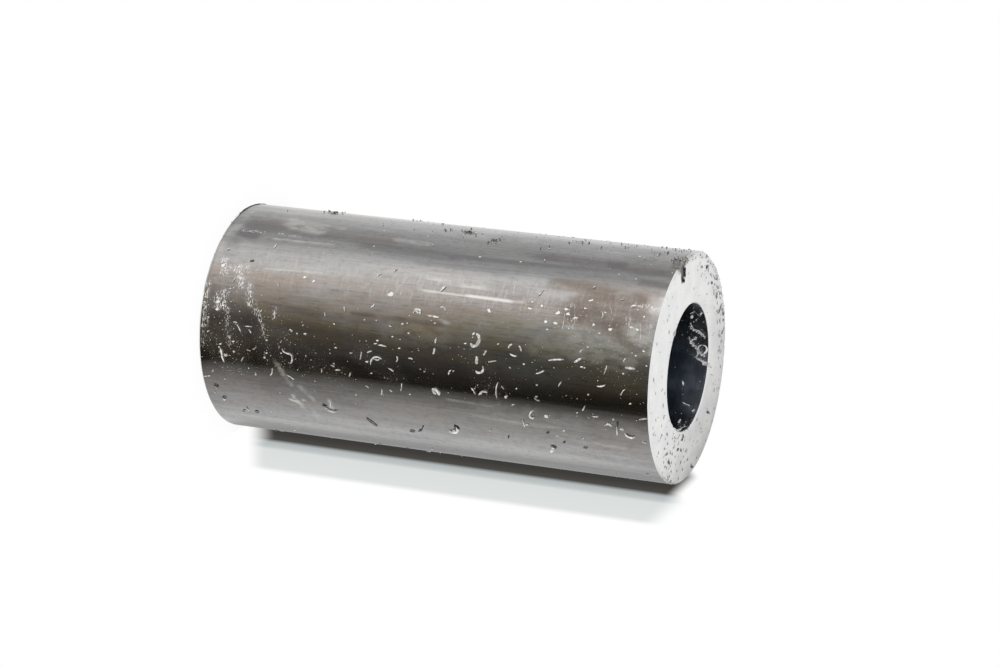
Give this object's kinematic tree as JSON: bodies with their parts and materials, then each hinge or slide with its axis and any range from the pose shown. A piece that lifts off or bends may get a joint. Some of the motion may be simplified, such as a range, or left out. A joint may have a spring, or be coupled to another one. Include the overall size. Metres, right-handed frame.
{
  "type": "spacer sleeve",
  "caption": "Thick-walled plain steel spacer sleeve with a straight through bore, square faced ends and lightly broken edges.",
  "frame": {"origin": "middle of the bore on the end face that the sleeve stands on", "axes": "+Z along the bore, from the end that it stands on to the end with the nick; X and Y across it"},
  "size_m": [0.036, 0.036, 0.075],
  "materials": {
    "steel": "drawn steel skin with a satin sheen along its length, bright faced ends and a drilled bore, with fine swarf stuck on by oil"
  },
  "bodies": {
    "root": {"sleeve": "steel"}
  },
  "joints": []
}
